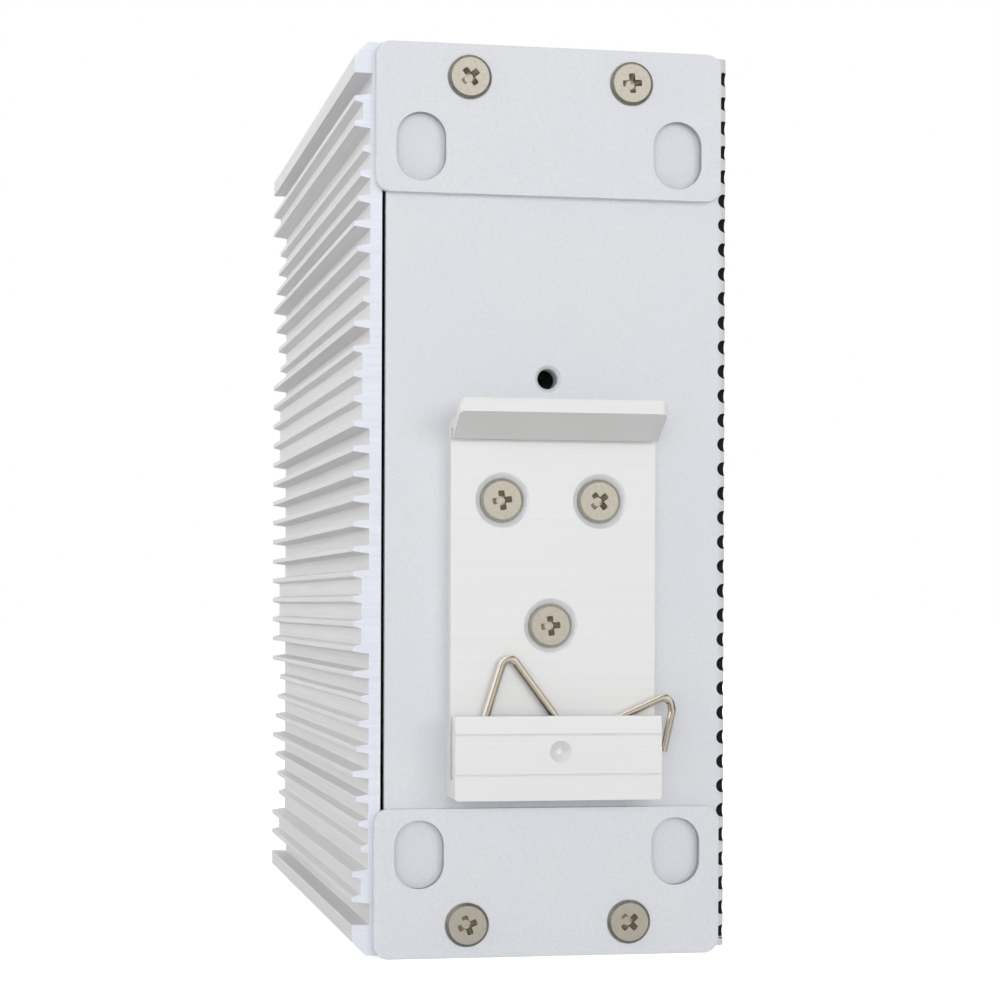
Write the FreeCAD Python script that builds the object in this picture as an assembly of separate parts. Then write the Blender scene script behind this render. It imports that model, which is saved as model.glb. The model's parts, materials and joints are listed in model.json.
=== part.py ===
"""Eight-port DIN rail Ethernet switch in a folded case with a finned cover.

Frame: +Z is up, the port panel faces -Y, the rail clip faces +Y and the
finned cover closes the +X side.  The origin is under the middle of the
whole product, level with the lower edge of the lower wall plate.
Lengths are in millimetres.  Screw shanks are drawn at the core diameter of
their thread, and tapped holes at the tapping drill diameter.
"""

import FreeCAD, Part

import math
import os

Vector = FreeCAD.Vector
AXIS_X = Vector(1, 0, 0)
AXIS_Y = Vector(0, 1, 0)
AXIS_Z = Vector(0, 0, 1)

# Whole product
overall_height = 110.0          # from edge to edge of the two wall plates
overall_width = 46.3            # from the vented side to the fin tips
body_depth = 95.0               # from the port panel to the rear panel

# Folded sheet case
sheet = 1.0
bend_radius = 1.2               # outside of every fold
seam = 0.3                      # gap where two flanges meet
case_inset_bottom = 0.7         # the case ends above the plate's lower edge
case_inset_top = 0.2

# Vent slots that run round the fold between the side and the rear panel
vent_width = 1.7
vent_pitch = 3.0
vent_wrap = 1.2                 # reach onto the rear panel
vent_length = 1.5               # reach onto the side
vent_end_margin = 1.6           # from the end slots' centres to the case edges
vent_row_shift = -0.4           # the row sits a little below the middle

# Finned cover, one extrusion that lies along Y
cover_gap = 0.45                # between the flange edges and the cover
cover_wall = 1.45
fin_height = 1.95
fin_pitch = 3.0
fin_tip = 0.6                   # thickness at the tip
fin_root = 1.15                 # thickness at the foot
edge_block = 3.7                # solid bars along the two long edges
edge_chamfer = 1.65
edge_groove_extra = 0.2         # the outermost grooves are cut deeper
shallow_rise = 0.9              # floor of the shallow grooves above the deep ones
wave_steps = (0.0, 0.45, 0.75, 1.05)   # how far the fins round each crest step down
crest_count = 11                # fins from the middle fin to each crest
shallow_from_count = 3          # fins from the middle to each group of shallow grooves
shallow_to_count = 6
cover_inset_bottom = 0.4
cover_inset_top = 0.05
rib_depth = 6.0                 # inner ribs that take the cover screws
rib_thickness = 4.0
rib_clearance = 0.15
rib_end_gap = 1.5

# Wall plates
plate_height = 18.0
plate_thickness = 1.2
plate_overlap = 0.9             # how far a plate reaches over the cover's end
plate_side_inset = 1.2          # from the vented side to the plate's edge
plate_corner = 1.8
plate_slot_width = 6.0
plate_slot_length = 8.2
plate_slot_spacing = 31.7
plate_slot_inset = 12.5         # from the plate's outer edge to the slot centres
plate_screw_spacing = 20.0
plate_screw_inset = 4.0

# Rail bracket, one extrusion that lies along X
mount_centre_x = -0.65          # centre line of everything fixed to the rear panel
bracket_width = 25.2
bracket_centre_shift = -0.3     # the bracket sits a little off that centre line
bracket_bottom = 19.2
bracket_plate = 2.2
block_height = 10.05
block_reach = 5.9               # front of the clip block from the rear panel
channel_width = 1.6             # takes the rail's lower rim and the wire
channel_floor = 2.4
block_lead_in = 0.3             # slope of the block's upper band
band_groove = 0.3
band_heights = (3.05, 7.85)     # the two V grooves above the block's lower face
rail_gap = 33.1                 # from the block's top to the hook's lip
rim_slot = 1.3                  # undercut that holds the rail's upper rim
rim_slot_depth = 1.25
hook_reach = 8.4
hook_rise = 2.95
hook_face = 1.6
hook_top_rise = 2.2
hook_corner = 0.7               # rounding of the hook's two upper corners
block_corner = 0.4              # rounding of the block's two lower corners
dimple_radius = 1.35
dimple_depth = 0.95
dimple_height = 5.8             # above the block's lower face
dimple_shift = -0.2
bracket_screw_spacing = 12.0
bracket_screw_upper = 55.1      # heights above the wall plate's lower edge
bracket_screw_lower = 40.0
bracket_sink_radius = 3.35
spare_hole_height = 70.0

# Wire spring in the clip block
wire_radius = 0.5
wire_bend = 1.0                 # centre line radius of the tight bends
wire_press = 2.0                # travel that the wire has above the channel floor
wire_foot_inset = 2.6           # the first end, from the block's end
wire_tall_inset = 6.7           # the tall loop, from the block's end
wire_tall_rise = 7.9            # above the block
wire_low_shift = 2.2            # the bend inside the channel, past the middle
wire_low_rise = 2.2             # above the first end
wire_short_reach = 1.6          # the short loop, past the block's other end
wire_short_rise = 2.5           # above the block
wire_tail_reach = 2.0
wire_tail_rise = 0.4
wire_tip_reach = 0.9            # the second end, past the block's end
wire_tip_rise = 0.7             # above the first end
wire_seat = 0.05                # between the wire and the boss that it bends round
boss_gap = 0.3                  # from the boss to the back of the channel

# Countersunk M3 screws and their holes
core_radius = 1.2
tap_radius = 1.25
clear_radius = 1.6
head_radius = 2.65
head_land = 0.2                 # the head's straight rim, which stands above its seat
head_crown = 0.35               # the bevelled top above the straight rim
head_gap = 0.05                 # between the head's cone and its seat
cone_depth = 1.1
recess_radius = 1.2
recess_width = 0.75
recess_depth = 1.2
collar_radius = 2.05            # drawn collars behind the rear panel's tapped holes
collar_length = 3.0
collar_entry = 0.4
screw_length = 5.2
cover_screw_inset = 22.0        # from the two panels to the cover screws

# Circuit board and what holds it
board_thickness = 1.6
board_lift = 5.0                # standoff height over the case's side
board_gap_front = 0.6
board_gap_rear = 4.0
board_gap_ends = 2.0
board_hole_radius = 1.7
board_screw_grip = 3.0          # reach into the standoff
board_screw_turn = 15           # how its cross is turned, in degrees
standoff_across = 5.0           # across the flats
standoff_stem = 2.1
standoff_stem_fit = 0.03
standoff_inset_front = 41.0
standoff_inset_rear = 20.0
standoff_inset_ends = 6.0
pan_radius = 2.8
pan_height = 1.8
pan_chamfer = 0.6

# Two rows of four jacks
port_rows = 2
port_columns = 4
port_pitch = 13.97
row_pitch = 12.7
jack_depth = 22.0
jack_height = 25.6
jack_side_wall = 0.7
shell_thickness = 0.3
jack_fit = 0.25                 # between the shell and the panel's opening
cavity_width = 11.8
cavity_height = 6.9
cavity_depth = 13.5
latch_width = 6.2
latch_depth = 1.5
contact_pitch = 1.02
contact_width = 0.4
contact_start = 3.0
contact_end = 12.0
contact_drop = 1.9
contact_thickness = 0.35
contacts_per_port = 8
light_width = 2.2
light_height = 1.1
light_offset = 4.75
light_depth = 1.0
jack_bottom = 3.0               # first jack above the case's lower edge

# Status lights
pipe_count = 3
pipe_pitch = 3.2
pipe_radius = 1.4
pipe_fit = 0.1
pipe_axis_height = 5.5          # above the board
pipe_reach = 4.5                # behind the panel's outer face
pipe_proud = 0.3
status_led_height = 0.8
led_gap = 0.1

# Pluggable power terminal
pole_count = 4
pole_pitch = 5.08
header_height = 8.6
header_wall = 0.8
header_depth = 12.0
header_floor = 3.4
header_inset = 2.0              # from the board's upper edge
plug_fit = 0.15
plug_reach = 8.5                # how far the plug stands out of the panel
plug_lip = 0.3
pin_side = 1.0
pin_length = 6.5
pin_fit = 0.1
pin_tail = 3.0
entry_width = 3.6
entry_height = 3.4
entry_depth = 6.4
clamp_wall = 0.3
clamp_fit = 0.05
clamp_length = 4.4
clamp_setback = 1.4
terminal_hole_radius = 1.7
terminal_screw_radius = 1.5
terminal_screw_height = 1.4

# Chips, heat path and power parts on the board
chip_side = 17.0
chip_height = 1.5
chip_behind_jacks = 12.0
pad_thickness = 0.5
cover_pad_thickness = 1.0
heat_block_side = 22.0
heat_block_foot = 16.0
heat_block_step = 14.0
phy_side = 10.0
phy_height = 1.2
phy_spacing = 22.0
phy_setback = 8.0               # behind the switch chip's middle
magnetics_length = 15.5
magnetics_width = 9.5
magnetics_height = 5.8
magnetics_gap = 2.0
capacitor_radius = 4.0
capacitor_height = 11.5
capacitor_pitch = 10.0
capacitor_count = 3
capacitor_groove = 0.4          # depth of the groove rolled near the foot
capacitor_groove_height = 2.0
inductor_side = 10.0
inductor_height = 5.0
inductor_gap = 3.0
transformer_length = 20.0
transformer_width = 14.0
transformer_height = 12.0
transformer_wall = 2.4
transformer_gap = 14.0          # from the inductors, room for a standoff
transformer_skirt = 0.8
transformer_drop = 8.0          # below the header's upper edge, clear of a standoff
bobbin_foot = 1.0
power_row_gap = 4.0             # from the header to the parts behind it

# Levels worked out from the sizes above
reach_total = plug_reach + body_depth + hook_reach
rear_y = reach_total / 2 - hook_reach
front_y = rear_y - body_depth
rear_inner_y = rear_y - sheet
front_inner_y = front_y + sheet
side_x = -overall_width / 2
side_inner_x = side_x + sheet
fin_tip_x = side_x + overall_width
fin_root_x = fin_tip_x - fin_height
cover_inner_x = fin_root_x - cover_wall
flange_x = cover_inner_x - cover_gap
case_bottom = case_inset_bottom
case_top = overall_height - case_inset_top
cover_bottom = cover_inset_bottom
cover_top = overall_height - cover_inset_top
plate_left_x = side_x + plate_side_inset
plate_right_x = cover_inner_x + plate_overlap
plate_face_y = rear_y + plate_thickness

bracket_centre_x = mount_centre_x + bracket_centre_shift
block_top = bracket_bottom + block_height
block_front_y = rear_y + block_reach
bracket_face_y = rear_y + bracket_plate
channel_floor_z = bracket_bottom + channel_floor
channel_outer_y = bracket_face_y + channel_width
wire_y = bracket_face_y + channel_width / 2
lip_z = block_top + rail_gap
bracket_top = lip_z + hook_rise + hook_face

board_x = side_inner_x + board_lift
board_face_x = board_x + board_thickness
board_front_y = front_inner_y + board_gap_front
board_rear_y = rear_inner_y - board_gap_rear
board_bottom = case_bottom + sheet + board_gap_ends
board_top = case_top - sheet - board_gap_ends

jack_length = port_columns * port_pitch + 2 * jack_side_wall
jack_low_z = case_bottom + jack_bottom
jack_high_z = jack_low_z + jack_length
jack_top_x = board_face_x + jack_height
jack_middle_x = board_face_x + jack_height / 2
header_length = pole_count * pole_pitch + 2 * header_wall
header_high_z = board_top - header_inset
header_low_z = header_high_z - header_length
pipe_first_z = (jack_high_z + header_low_z - (pipe_count - 1) * pipe_pitch) / 2
pipe_x = board_face_x + pipe_axis_height
header_top_x = board_face_x + header_height
header_middle_x = board_face_x + header_height / 2
header_rear_y = front_y + header_depth
header_floor_y = header_rear_y - header_floor


def box(x_range, y_range, z_range):
    """A box between two values on each axis."""
    size = [high - low for low, high in (x_range, y_range, z_range)]
    return Part.makeBox(*size, Vector(x_range[0], y_range[0], z_range[0]))


def cylinder(centre, axis, radius, length):
    """A cylinder that starts at centre and runs along axis."""
    return Part.makeCylinder(radius, length, centre, axis)


def cone(centre, axis, start_radius, end_radius, length):
    """A cone that starts at centre and runs along axis."""
    return Part.makeCone(start_radius, end_radius, length, centre, axis)


def prism(points, direction):
    """A solid with a polygon for its section, pushed along direction."""
    outline = Part.makePolygon(points + points[:1])
    return Part.Face(outline).extrude(direction)


def joined(solids):
    """Several overlapping solids as one."""
    result = solids[0].multiFuse(solids[1:]) if len(solids) > 1 else solids[0]
    return result.removeSplitter()


def upright_slot(centre, width, length, depth):
    """An oblong along Z with round ends, cut along -Y from its centre."""
    half = length / 2 - width / 2
    middle = box((centre.x - width / 2, centre.x + width / 2),
                 (centre.y - depth, centre.y),
                 (centre.z - half, centre.z + half))
    ends = [cylinder(centre + AXIS_Z * side * half, AXIS_Y * -1, width / 2, depth)
            for side in (-1, 1)]
    return joined([middle] + ends)


def rounded_plate(x_range, y_range, z_range, radius):
    """A plate in the XZ plane with its four corners rounded."""
    plate = box(x_range, y_range, z_range)
    corners = [edge for edge in plate.Edges
               if abs(edge.tangentAt(edge.FirstParameter).y) > 0.99]
    return plate.makeFillet(radius, corners)


def plate_screw_points():
    """The four wall plate screws on the rear panel, as (x, z)."""
    heights = (overall_height - plate_screw_inset, plate_screw_inset)
    return [(mount_centre_x + side * plate_screw_spacing / 2, z)
            for z in heights for side in (1, -1)]


def bracket_screw_points():
    """The three bracket screws on the rear panel, as (x, z)."""
    upper = [(mount_centre_x + side * bracket_screw_spacing / 2, bracket_screw_upper)
             for side in (1, -1)]
    return upper + [(mount_centre_x, bracket_screw_lower)]


def cover_screw_points():
    """The cover screws in the top and bottom flanges, as (y, z, direction out)."""
    rows = (front_y + cover_screw_inset, rear_y - cover_screw_inset)
    return [(y, z, way) for z, way in ((case_top, 1), (case_bottom, -1)) for y in rows]


def cover_screw_x():
    """The cover screws meet the middle of the cover's inner ribs."""
    return cover_inner_x - rib_depth / 2


def standoff_points():
    """The five board standoffs, as (y, z)."""
    front = front_y + standoff_inset_front
    rear = board_rear_y - standoff_inset_rear
    low = board_bottom + standoff_inset_ends
    high = board_top - standoff_inset_ends
    return [(front, low), (front, high), (rear, low), (rear, high), (rear, (low + high) / 2)]


def cross_recess(centre, outward, turn):
    """The cross of a screw head, narrower with depth, opening along outward."""
    inward = outward * -1
    funnel = cone(centre, inward, recess_radius, recess_radius * 0.45, recess_depth)
    side_axis = AXIS_Z if abs(outward.z) < 0.5 else AXIS_X
    cross_axis = outward.cross(side_axis)
    arms = []
    for along, across in ((side_axis, cross_axis), (cross_axis, side_axis)):
        corner = centre - along * recess_radius - across * recess_width / 2 + outward * 0.1
        steps = [along * recess_radius * 2, across * recess_width, inward * (recess_depth + 0.1)]
        base = [corner, corner + steps[0], corner + steps[0] + steps[1], corner + steps[1]]
        arms.append(prism(base, steps[2]))
    cross = joined(arms).common(funnel)
    cross.rotate(centre, outward, turn)
    return cross


def countersunk_screw(seat, outward, length, turn, crown):
    """A flat-headed screw; seat is the middle of its cone's wide end."""
    inward = outward * -1
    rim_top = seat + outward * head_land
    face = rim_top + outward * crown
    rim = cylinder(rim_top, inward, head_radius, head_land)
    head = cone(seat, inward, head_radius, head_radius - cone_depth, cone_depth)
    shank = cylinder(rim_top, inward, core_radius, length)
    pieces = [rim, head, shank]
    if crown > 0:
        pieces.append(cone(rim_top, outward, head_radius, head_radius - crown, crown))
    return joined(pieces).cut(cross_recess(face, outward, turn))


def countersink(centre, outward, surface_radius, depth):
    """The cone and clearance hole that a flat-headed screw goes through."""
    inward = outward * -1
    cone_length = min(depth, surface_radius - clear_radius)
    sink = cone(centre, inward, surface_radius, surface_radius - cone_length, cone_length)
    hole = cylinder(centre + outward * 0.1, inward, clear_radius, depth + 0.2)
    return [sink, hole]


def case_tray():
    """The side wall with its four flanges, folded up from one sheet."""
    outer = box((side_x, flange_x), (front_y, rear_y), (case_bottom, case_top))
    inner = box((side_inner_x, flange_x + 1), (front_inner_y, rear_inner_y),
                (case_bottom + sheet, case_top - sheet))
    panel_folds = [edge for edge in outer.Edges
                   if edge.BoundBox.XMax < side_x + 0.01 and edge.BoundBox.YLength < 0.01]
    inner_folds = [edge for edge in inner.Edges if edge.BoundBox.XMax < side_inner_x + 0.01]
    shell = outer.makeFillet(bend_radius, panel_folds)
    shell = shell.cut(inner.makeFillet(bend_radius - sheet, inner_folds))
    return shell.cut(end_fold_cuts())


def end_fold_cuts():
    """What the folds of the end flanges take off the side wall's long edges."""
    y_range = (front_inner_y, rear_inner_y)
    cuts = []
    for z, way in ((case_bottom, 1), (case_top, -1)):
        axis_z = z + way * bend_radius
        corner = box((side_x - 1, side_x + bend_radius), y_range, sorted((z - way, axis_z)))
        rod = cylinder(Vector(side_x + bend_radius, front_y, axis_z), AXIS_Y, bend_radius,
                       body_depth)
        cuts.append(corner.cut(rod))
    return cuts


def case_seams():
    """The gaps that part the end flanges from the front and rear panels."""
    gaps = []
    for y_range in ((front_inner_y, front_inner_y + seam), (rear_inner_y - seam, rear_inner_y)):
        for z_range in ((case_bottom - 1, case_bottom + sheet), (case_top - sheet, case_top + 1)):
            gaps.append(box((side_x - 1, flange_x + 1), y_range, z_range))
    return gaps


def vent_cuts():
    """The row of slots across the rear fold, round at both ends."""
    clear_span = case_top - case_bottom - 2 * vent_end_margin
    count = int(clear_span / vent_pitch + 0.5) + 1
    middle = (case_top + case_bottom) / 2 + vent_row_shift
    first = middle - (count - 1) * vent_pitch / 2
    radius = vent_width / 2
    rear_end_x = side_x + vent_wrap - radius
    side_end_y = rear_y - vent_length + radius
    x_range = (side_x - 1, side_x + vent_wrap)
    y_range = (rear_y - vent_length, rear_y + 1)
    cuts = []
    for index in range(count):
        z = first + index * vent_pitch
        z_range = (z - radius, z + radius)
        from_rear = box((side_x - 1, rear_end_x), y_range, z_range).fuse(
            cylinder(Vector(rear_end_x, y_range[0], z), AXIS_Y, radius, vent_length + 1))
        from_side = box(x_range, (side_end_y, rear_y + 1), z_range).fuse(
            cylinder(Vector(x_range[0], side_end_y, z), AXIS_X, radius, vent_wrap + 1))
        cuts.append(from_rear.common(from_side))
    return cuts


def rear_collar(x, z):
    """A collar drawn inwards from the rear panel for a tapped hole."""
    return cylinder(Vector(x, rear_inner_y, z), AXIS_Y * -1, collar_radius, collar_length - sheet)


def rear_tapped_hole(x, z):
    """The tapped hole through a collar, with the entry that drawing leaves."""
    face = Vector(x, rear_y, z)
    entry = cone(face, AXIS_Y * -1, tap_radius + collar_entry, tap_radius, collar_entry)
    return [entry, cylinder(face, AXIS_Y * -1, tap_radius, collar_length + 0.1)]


def front_cuts():
    """The openings for the jacks, the terminal and the status lights."""
    y_range = (front_y - 1, front_inner_y + 0.1)
    cuts = [box((board_face_x - jack_fit, jack_top_x + jack_fit), y_range,
                (jack_low_z - jack_fit, jack_high_z + jack_fit)),
            box((board_face_x - jack_fit, header_top_x + jack_fit), y_range,
                (header_low_z - jack_fit, header_high_z + jack_fit))]
    for index in range(pipe_count):
        centre = Vector(pipe_x, front_y - 1, pipe_first_z + index * pipe_pitch)
        cuts.append(cylinder(centre, AXIS_Y, pipe_radius + pipe_fit, sheet + 2))
    return cuts


def chassis():
    """The folded case with its vents, tapped collars and port openings."""
    rear_points = plate_screw_points() + bracket_screw_points()
    rear_points.append((mount_centre_x, spare_hole_height))
    body = joined([case_tray()] + [rear_collar(x, z) for x, z in rear_points])
    cuts = case_seams() + vent_cuts() + front_cuts()
    for x, z in rear_points:
        cuts += rear_tapped_hole(x, z)
    for y, z, way in cover_screw_points():
        face = Vector(cover_screw_x(), y, z)
        cuts += countersink(face, AXIS_Z * way, head_radius + head_gap, sheet)
    for y, z in standoff_points():
        cuts.append(cylinder(Vector(side_x - 1, y, z), AXIS_X, standoff_stem, sheet + 2))
    return body.cut(cuts)


def fin_drop(steps_from_middle):
    """How far a fin's tip steps down from the tallest fins."""
    from_crest = abs(abs(steps_from_middle) - crest_count)
    return wave_steps[from_crest] if from_crest < len(wave_steps) else 0.0


def groove_floor(steps_from_middle, half_count):
    """The X level of the groove that lies this many fins from the middle."""
    distance = abs(steps_from_middle)
    shallow = shallow_from_count < distance < shallow_to_count or distance > half_count - 1
    return fin_root_x + shallow_rise if shallow else fin_root_x


def fin_outline():
    """The toothed side of the cover's section, from the lower edge upwards."""
    middle = (cover_bottom + cover_top) / 2
    room = (cover_top - cover_bottom) / 2 - edge_block - fin_root / 2
    half_count = int(room / fin_pitch)
    block_floor = fin_root_x - edge_groove_extra
    points = [(fin_tip_x - edge_chamfer, cover_bottom), (fin_tip_x, cover_bottom + edge_chamfer),
              (fin_tip_x, cover_bottom + edge_block), (block_floor, cover_bottom + edge_block)]
    for step in range(-half_count, half_count + 1):
        z = middle + step * fin_pitch
        tip = fin_tip_x - fin_drop(step)
        below = groove_floor(step - 0.5, half_count) if step > -half_count else block_floor
        above = groove_floor(step + 0.5, half_count) if step < half_count else block_floor
        points += [(below, z - fin_root / 2), (tip, z - fin_tip / 2),
                   (tip, z + fin_tip / 2), (above, z + fin_root / 2)]
    points += [(block_floor, cover_top - edge_block), (fin_tip_x, cover_top - edge_block),
               (fin_tip_x, cover_top - edge_chamfer), (fin_tip_x - edge_chamfer, cover_top)]
    return points


def heat_sink_cover():
    """The extruded cover: a wall, its fins and two inner ribs."""
    section = [(cover_inner_x, cover_bottom)] + fin_outline() + [(cover_inner_x, cover_top)]
    points = [Vector(x, front_y, z) for x, z in section]
    body = prism(points, AXIS_Y * body_depth)
    rib_x = (cover_inner_x - rib_depth, cover_inner_x)
    rib_y = (front_inner_y + rib_end_gap, rear_inner_y - rib_end_gap)
    low = case_bottom + sheet + rib_clearance
    high = case_top - sheet - rib_clearance
    body = joined([body, box(rib_x, rib_y, (low, low + rib_thickness)),
                   box(rib_x, rib_y, (high - rib_thickness, high))])
    holes = [cylinder(Vector(cover_screw_x(), y, z), AXIS_Z * -way, tap_radius,
                      sheet + rib_clearance + rib_thickness + 0.1)
             for y, z, way in cover_screw_points()]
    return body.cut(holes)


def wall_plate(low_z, outer_side):
    """One wall plate; outer_side is 1 for the upper one and -1 for the lower."""
    high_z = low_z + plate_height
    outer_z = high_z if outer_side > 0 else low_z
    plate = rounded_plate((plate_left_x, plate_right_x), (rear_y, plate_face_y),
                          (low_z, high_z), plate_corner)
    cuts = []
    for side in (1, -1):
        slot_x = mount_centre_x + side * plate_slot_spacing / 2
        slot = Vector(slot_x, plate_face_y + 1, outer_z - outer_side * plate_slot_inset)
        cuts.append(upright_slot(slot, plate_slot_width, plate_slot_length, plate_thickness + 2))
        hole_x = mount_centre_x + side * plate_screw_spacing / 2
        hole = Vector(hole_x, plate_face_y, outer_z - outer_side * plate_screw_inset)
        cuts += countersink(hole, AXIS_Y, head_radius + head_gap, plate_thickness)
    return plate.cut(cuts)


def bracket_section():
    """The bracket's outline: clip block, plate and hook, as (y, z)."""
    out = block_reach
    groove = band_groove / 2
    points = [(0, bracket_bottom), (out, bracket_bottom)]
    for height in band_heights:
        z = bracket_bottom + height
        points += [(out, z - groove), (out - groove, z), (out, z + groove)]
    slot_top = lip_z + rim_slot_depth
    lip_y = bracket_plate + rim_slot
    points += [(out - block_lead_in, block_top),
               (bracket_plate + channel_width, block_top),
               (bracket_plate + channel_width, channel_floor_z),
               (bracket_plate, channel_floor_z),
               (bracket_plate, slot_top), (lip_y, slot_top), (lip_y, lip_z),
               (hook_reach, lip_z + hook_rise), (hook_reach, bracket_top),
               (lip_y, bracket_top - hook_top_rise), (0, bracket_top - hook_top_rise)]
    return points


def dimple_centre():
    """The punched dimple on the clip block's outer face."""
    return Vector(bracket_centre_x + dimple_shift, block_front_y, bracket_bottom + dimple_height)


def wire_boss():
    """The boss that the dimple's punch raised in the channel, under the wire's bend."""
    dimple = dimple_centre()
    in_wire_plane = Vector(dimple.x, wire_y, dimple.z)
    to_wire = wire_path().distToShape(Part.Vertex(in_wire_plane))[0]
    foot = Vector(dimple.x, channel_outer_y, dimple.z)
    return cylinder(foot, AXIS_Y * -1, to_wire - wire_radius - wire_seat,
                    channel_width - boss_gap)


def din_rail_bracket():
    """The extruded bracket with its sunk screw holes, dimple and boss."""
    left = bracket_centre_x - bracket_width / 2
    points = [Vector(left, rear_y + y, z) for y, z in bracket_section()]
    bar = prism(points, AXIS_X * bracket_width)
    end_edges = [edge for edge in bar.Edges if edge.BoundBox.XLength < 0.01]
    hook_edges = [edge for edge in end_edges if edge.BoundBox.ZMax > bracket_top - 0.01
                  and edge.BoundBox.ZMin > bracket_top - hook_top_rise - 0.01]
    block_edges = [edge for edge in end_edges if edge.BoundBox.ZMax < bracket_bottom + 0.01]
    bar = bar.makeFillet(hook_corner, hook_edges)
    bar = bar.makeFillet(block_corner, block_edges)
    body = joined([bar, wire_boss()])
    cuts = []
    for x, z in bracket_screw_points():
        cuts += countersink(Vector(x, bracket_face_y, z), AXIS_Y, bracket_sink_radius,
                            bracket_plate)
    cuts.append(cone(dimple_centre(), AXIS_Y * -1, dimple_radius, dimple_radius * 0.25,
                     dimple_depth))
    return body.cut(cuts)


def wire_points():
    """The corners of the wire's centre line in its own plane, from end to end."""
    foot_z = channel_floor_z + wire_press + wire_radius
    left_end_x = bracket_centre_x + bracket_width / 2
    right_end_x = bracket_centre_x - bracket_width / 2
    outline = [(left_end_x - wire_foot_inset, foot_z),
               (left_end_x - wire_tall_inset, block_top + wire_tall_rise),
               (bracket_centre_x - wire_low_shift, foot_z + wire_low_rise),
               (right_end_x - wire_short_reach, block_top + wire_short_rise),
               (right_end_x - wire_tail_reach, block_top + wire_tail_rise),
               (right_end_x - wire_tip_reach, foot_z + wire_tip_rise)]
    return [Vector(x, wire_y, z) for x, z in outline]


def rounded_path(points, radius):
    """Straight runs through the points, joined by tangent arcs."""
    edges = []
    start = points[0]
    for before, corner, after in zip(points, points[1:], points[2:]):
        way_in = (corner - before).normalize()
        way_out = (after - corner).normalize()
        turn = way_in.getAngle(way_out)
        setback = radius * math.tan(turn / 2)
        arc_start = corner - way_in * setback
        arc_end = corner + way_out * setback
        bisector = (way_out - way_in).normalize()
        to_middle = radius / math.cos(turn / 2) - radius
        edges.append(Part.LineSegment(start, arc_start).toShape())
        edges.append(Part.Arc(arc_start, corner + bisector * to_middle, arc_end).toShape())
        start = arc_end
    edges.append(Part.LineSegment(start, points[-1]).toShape())
    return Part.Wire(edges)


def wire_path():
    """The wire's centre line with its bends."""
    return rounded_path(wire_points(), wire_bend)


def clip_spring():
    """The wire spring: two loops that stand above the clip block."""
    points = wire_points()
    section = Part.Wire(Part.makeCircle(wire_radius, points[0], points[1] - points[0]))
    return wire_path().makePipeShell([section], True, True)


def wall_plate_screws():
    """The four screws of the wall plates."""
    turns = (38, 4, 20, 44)
    return [countersunk_screw(Vector(x, plate_face_y, z), AXIS_Y, screw_length, turn, head_crown)
            for (x, z), turn in zip(plate_screw_points(), turns)]


def bracket_screws():
    """The three screws of the rail bracket, whose heads sit below its face."""
    sunk = bracket_sink_radius - head_radius - head_gap
    turns = (8, 40, 6)
    seat_y = bracket_face_y - sunk
    return [countersunk_screw(Vector(x, seat_y, z), AXIS_Y, screw_length, turn, head_crown)
            for (x, z), turn in zip(bracket_screw_points(), turns)]


def cover_screws():
    """The four screws that hold the cover's ribs to the case."""
    turns = (12, 50, 30, 70)
    seat_x = cover_screw_x()
    return [countersunk_screw(Vector(seat_x, y, z), AXIS_Z * way, screw_length, turn, 0)
            for (y, z, way), turn in zip(cover_screw_points(), turns)]


def main_board():
    """The circuit board, upright beside the vented wall."""
    board = box((board_x, board_face_x), (board_front_y, board_rear_y),
                (board_bottom, board_top))
    holes = [cylinder(Vector(board_x - 1, y, z), AXIS_X, board_hole_radius, board_thickness + 2)
             for y, z in standoff_points()]
    for centre in pole_centres():
        holes.append(box((board_x - 1, board_face_x + 1), *pin_tail_span(centre, pin_fit)))
    return board.cut(holes)


def board_standoffs():
    """Hexagonal standoffs with stems pressed into the side wall."""
    solids = []
    for y, z in standoff_points():
        corner = standoff_across / 2 / math.cos(math.radians(30))
        base = [Vector(side_inner_x, y + corner * math.cos(math.radians(60 * step)),
                       z + corner * math.sin(math.radians(60 * step))) for step in range(6)]
        stem = cylinder(Vector(side_x, y, z), AXIS_X, standoff_stem - standoff_stem_fit, sheet)
        post = joined([prism(base, AXIS_X * board_lift), stem])
        bore = cylinder(Vector(side_inner_x, y, z), AXIS_X, tap_radius, board_lift + 0.1)
        solids.append(post.cut(bore))
    return solids


def board_screws():
    """Round-headed screws that hold the board on its standoffs."""
    solids = []
    for y, z in standoff_points():
        face = Vector(board_face_x, y, z)
        head = cylinder(face, AXIS_X, pan_radius, pan_height)
        rim = [edge for edge in head.Edges if edge.BoundBox.XMin > board_face_x + pan_height - 0.01]
        head = head.makeChamfer(pan_chamfer, rim)
        shank = cylinder(face, AXIS_X * -1, core_radius, board_thickness + board_screw_grip)
        top = face + AXIS_X * pan_height
        solids.append(joined([head, shank]).cut(cross_recess(top, AXIS_X, board_screw_turn)))
    return solids


def ports():
    """Each jack as its centre (x, z) and the side its contacts are on."""
    result = []
    for row in range(port_rows):
        side = 1 if row == 0 else -1
        x = jack_middle_x - side * row_pitch / 2
        for column in range(port_columns):
            z = jack_low_z + jack_side_wall + (column + 0.5) * port_pitch
            result.append((x, z, side))
    return result


def port_cavity(x, z, side, grow, start_y, depth):
    """The room for one plug with its latch slot, grown all round."""
    half_width = cavity_width / 2 + grow
    half_height = cavity_height / 2 + grow
    latch_x = x - side * (cavity_height / 2 + latch_depth + grow)
    half_latch = latch_width / 2 + grow
    main = box((x - half_height, x + half_height), (start_y, start_y + depth),
               (z - half_width, z + half_width))
    latch = box(sorted((x, latch_x)), (start_y, start_y + depth), (z - half_latch, z + half_latch))
    return joined([main, latch])


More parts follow.
